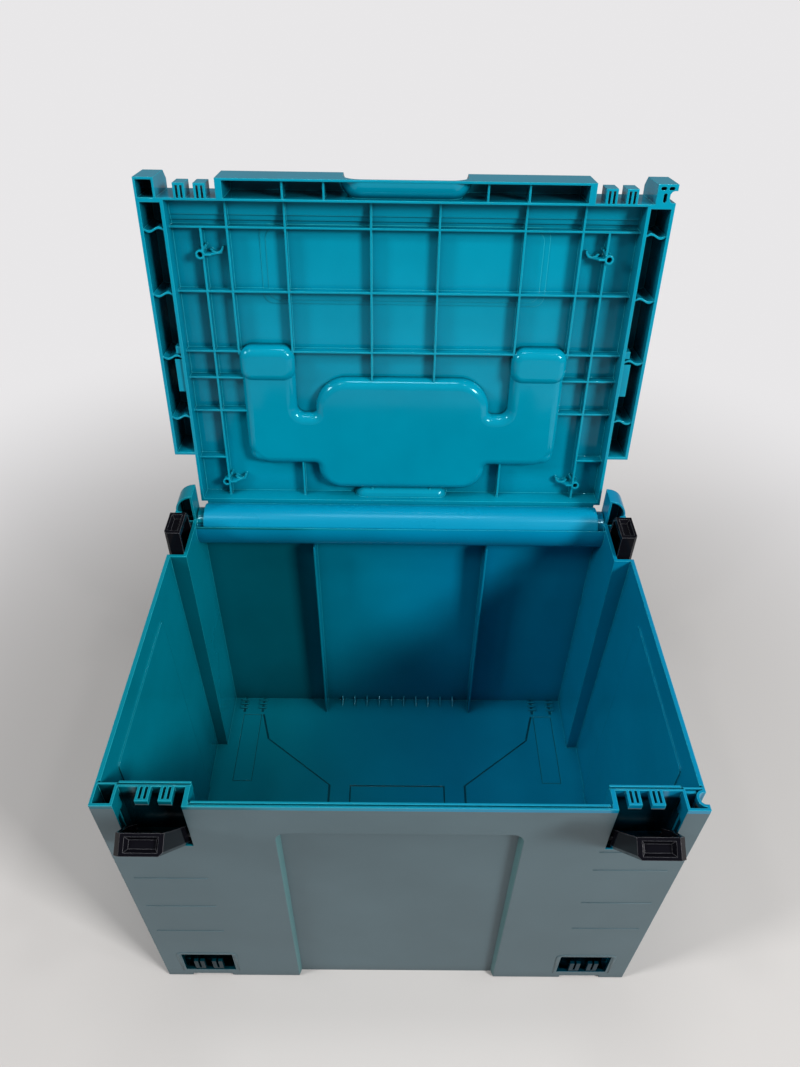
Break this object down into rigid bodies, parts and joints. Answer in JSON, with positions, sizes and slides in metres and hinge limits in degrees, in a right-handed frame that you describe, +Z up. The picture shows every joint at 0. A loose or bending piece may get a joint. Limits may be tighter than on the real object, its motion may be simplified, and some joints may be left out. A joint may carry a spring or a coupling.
{
  "type": "hard tool case",
  "caption": "Stackable hard tool case: deep drafted box, lid on a full-width hinge roll, fold-down handle in the lid top, and latches that tilt and lift to clamp the lid or a case above.",
  "frame": {"origin": "centre of the box footprint, on the base face", "axes": "+Z up, the front with the two front latches faces -Y, +X to the right seen from the front; the lid is open at rest and every joint value is 0"},
  "size_m": [0.396, 0.4106, 0.5518],
  "materials": {
    "shell": "fine-textured outside, smooth satin inside",
    "lid": "smooth satin",
    "handle": "satin black",
    "latches": "glossy black",
    "pins": "plain round steel"
  },
  "bodies": {
    "box": {"body_shell": "shell", "hinge_pin_left": "pins", "hinge_pin_right": "pins"},
    "lid": {"lid_shell": "lid", "handle_pin_left": "pins", "handle_pin_right": "pins"},
    "handle": {"carry_handle": "handle"},
    "front_left_pin": {"latch_pin_front_left": "pins"},
    "front_left_latch": {"latch_front_left": "latches"},
    "front_right_pin": {"latch_pin_front_right": "pins"},
    "front_right_latch": {"latch_front_right": "latches"},
    "side_left_pin": {"latch_pin_side_left": "pins"},
    "side_left_latch": {"latch_side_left": "latches"},
    "side_right_pin": {"latch_pin_side_right": "pins"},
    "side_right_latch": {"latch_side_right": "latches"}
  },
  "joints": [
    {"name": "lid_hinge", "type": "hinge", "parent": "box", "child": "lid", "pos_m": [0, 0.14, 0.268], "axis": [1, 0, 0], "range_deg": [0, 98]},
    {"name": "handle_fold", "type": "hinge", "parent": "lid", "child": "handle", "pos_m": [0, 0.18549, 0.40702], "axis": [1, 0, 0], "range_deg": [0, 90]},
    {"name": "front_left_lift", "type": "slide", "parent": "box", "child": "front_left_pin", "axis": [0, 0, 1], "range_m": [0, 0.03]},
    {"name": "front_left_tilt", "type": "hinge", "parent": "front_left_pin", "child": "front_left_latch", "pos_m": [-0.161, -0.141, 0.2295], "axis": [1, 0, 0], "range_deg": [-33, 0]},
    {"name": "front_right_lift", "type": "slide", "parent": "box", "child": "front_right_pin", "axis": [0, 0, 1], "range_m": [0, 0.03]},
    {"name": "front_right_tilt", "type": "hinge", "parent": "front_right_pin", "child": "front_right_latch", "pos_m": [0.161, -0.141, 0.2295], "axis": [1, 0, 0], "range_deg": [-33, 0]},
    {"name": "side_left_lift", "type": "slide", "parent": "box", "child": "side_left_pin", "axis": [0, 0, 1], "range_m": [0, 0.03]},
    {"name": "side_left_tilt", "type": "hinge", "parent": "side_left_pin", "child": "side_left_latch", "pos_m": [-0.191, 0.107, 0.2295], "axis": [0, 1, 0], "range_deg": [-33, 0]},
    {"name": "side_right_lift", "type": "slide", "parent": "box", "child": "side_right_pin", "axis": [0, 0, 1], "range_m": [0, 0.03]},
    {"name": "side_right_tilt", "type": "hinge", "parent": "side_right_pin", "child": "side_right_latch", "pos_m": [0.191, 0.107, 0.2295], "axis": [0, 1, 0], "range_deg": [0, 33]}
  ]
}
